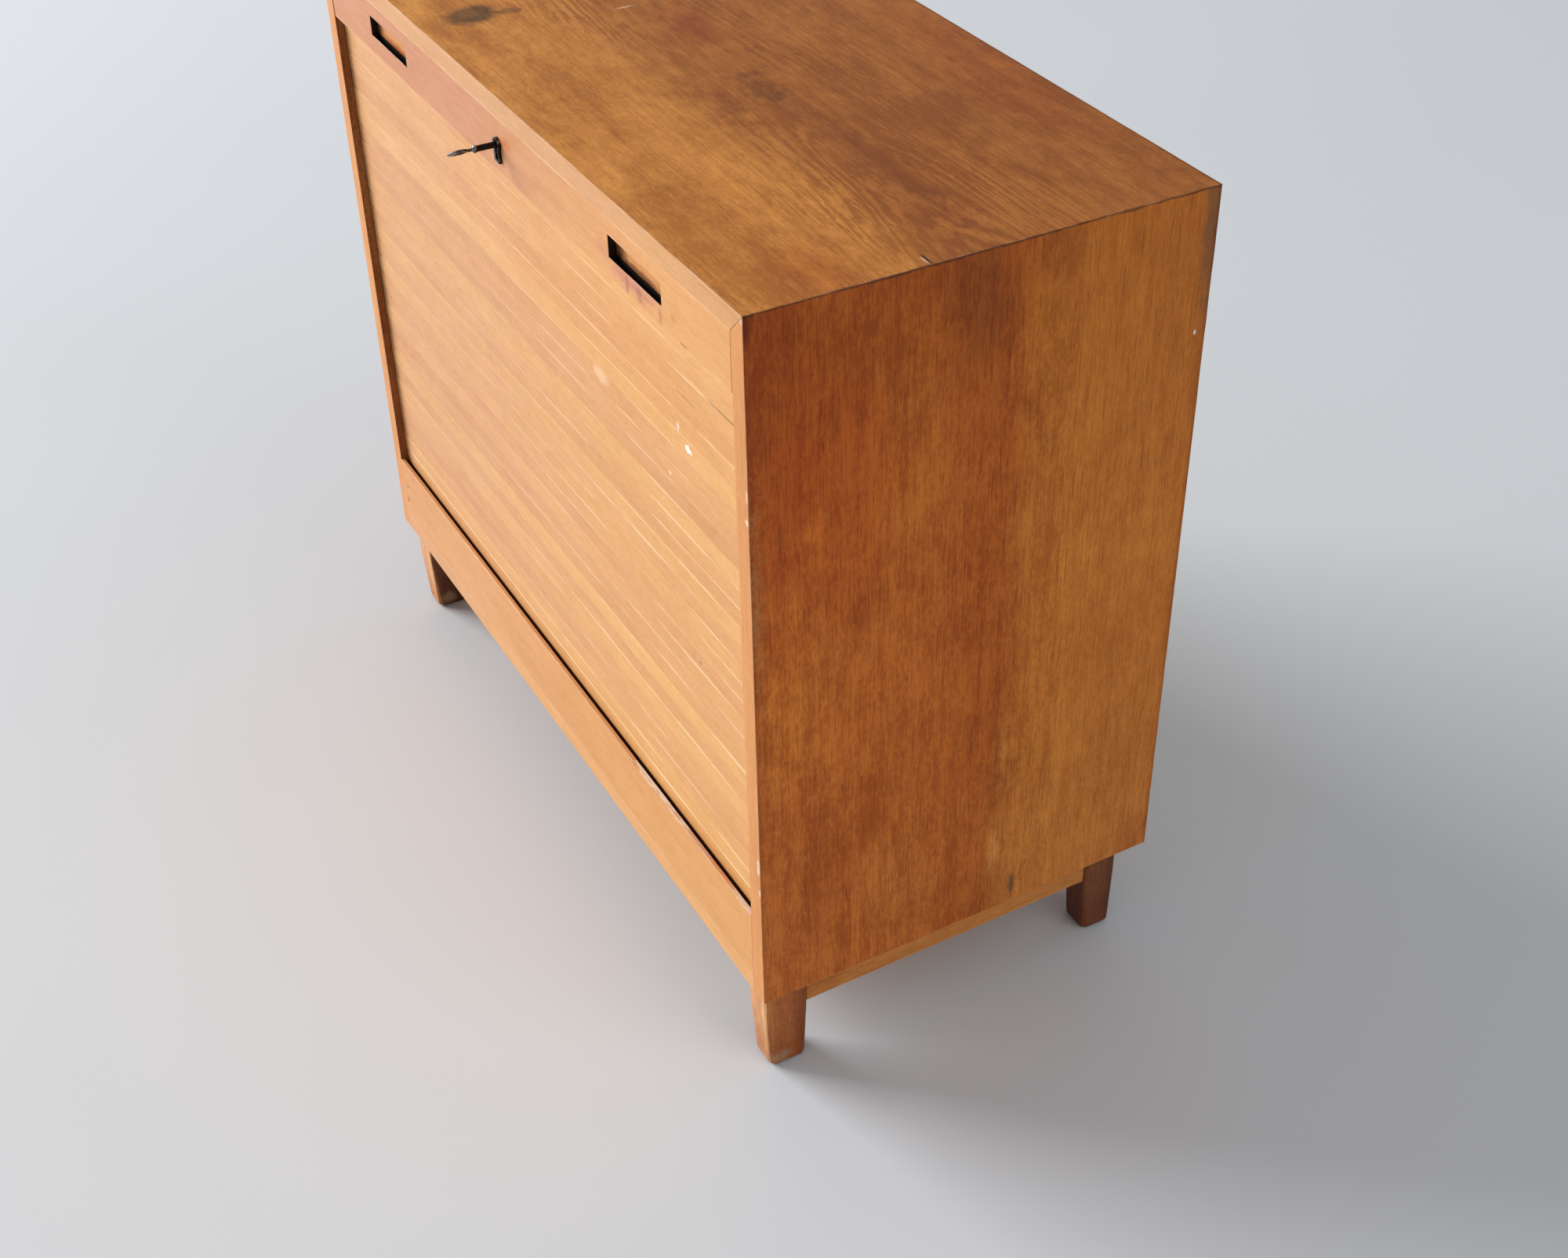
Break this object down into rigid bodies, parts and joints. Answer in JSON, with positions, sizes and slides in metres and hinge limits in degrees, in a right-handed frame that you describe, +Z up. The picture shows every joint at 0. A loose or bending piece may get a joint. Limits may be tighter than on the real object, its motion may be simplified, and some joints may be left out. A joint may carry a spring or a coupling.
{
  "type": "tambour door cabinet",
  "caption": "Low wooden cabinet with a slatted tambour front that slides down between grooved sides, finger pulls, a lock with its key and tapered legs.",
  "frame": {"origin": "bottom centre of the bounding box, on the floor, with the key in its lock", "axes": "+X to the right as seen from the front, +Y from the front to the back, +Z up"},
  "size_m": [0.902, 0.4724, 0.808],
  "materials": {
    "case_wood": "oiled honey-brown oak",
    "slat_wood": "oiled pale orange oak",
    "base_wood": "oiled honey-brown oak",
    "inside_wood": "plain plywood",
    "canvas": "coarse glued canvas",
    "lock_steel": "dull plated steel",
    "key_steel": "dark worn steel"
  },
  "bodies": {
    "cabinet": {"top_panel": "case_wood", "left_side": "case_wood", "right_side": "case_wood", "bottom_panel": "case_wood", "back_panel": "inside_wood", "inner_floor": "inside_wood", "inner_back": "inside_wood", "shelf": "inside_wood", "shelf_pins": "lock_steel", "bottom_rail": "case_wood", "strike_plate": "lock_steel", "leg_front_left": "base_wood", "leg_front_right": "base_wood", "leg_back_left": "base_wood", "leg_back_right": "base_wood", "base_rail_front": "base_wood", "base_rail_back": "base_wood", "base_rail_left": "base_wood", "base_rail_right": "base_wood", "base_screws": "lock_steel", "slat_01": "slat_wood", "slat_02": "slat_wood", "slat_03": "slat_wood", "slat_04": "slat_wood", "slat_05": "slat_wood", "slat_06": "slat_wood", "slat_07": "slat_wood", "slat_08": "slat_wood", "slat_09": "slat_wood", "slat_10": "slat_wood", "slat_11": "slat_wood", "slat_12": "slat_wood", "slat_13": "slat_wood", "slat_14": "slat_wood", "slat_15": "slat_wood", "slat_16": "slat_wood", "slat_17": "slat_wood", "slat_18": "slat_wood", "slat_19": "slat_wood", "slat_20": "slat_wood", "slat_21": "slat_wood", "slat_22": "slat_wood", "slat_23": "slat_wood", "slat_24": "slat_wood", "slat_25": "slat_wood", "slat_26": "slat_wood", "slat_27": "slat_wood", "slat_28": "slat_wood", "slat_29": "slat_wood", "slat_30": "slat_wood", "canvas_backing": "canvas"},
    "door": {"lead_rail": "case_wood", "keyhole_liner": "key_steel", "lock_case": "lock_steel", "lock_cover": "lock_steel", "hook_pivot": "lock_steel"},
    "key": {"key": "key_steel"},
    "hook": {"hook_bolt": "lock_steel"}
  },
  "joints": [
    {"name": "door_slide", "type": "slide", "parent": "cabinet", "child": "door", "axis": [0, 0, -1], "range_m": [0, 0.53], "deforming": ["slat_01", "slat_02", "slat_03", "slat_04", "slat_05", "slat_06", "slat_07", "slat_08", "slat_09", "slat_10", "slat_11", "slat_12", "slat_13", "slat_14", "slat_15", "slat_16", "slat_17", "slat_18", "slat_19", "slat_20", "slat_21", "slat_22", "slat_23", "slat_24", "slat_25", "slat_26", "slat_27", "slat_28", "slat_29", "slat_30", "canvas_backing"]},
    {"name": "key_turn", "type": "hinge", "parent": "door", "child": "key", "pos_m": [0, -0.18975, 0.7631], "axis": [0, 1, 0], "range_deg": [-57, 123]},
    {"name": "hook_swing", "type": "hinge", "parent": "door", "child": "hook", "pos_m": [0.016, -0.18975, 0.7701], "axis": [0, 1, 0], "range_deg": [-28.5, 61.5]}
  ],
  "couplings": [
    {"joint": "hook_swing", "follows": "key_turn", "ratio": 0.5}
  ]
}
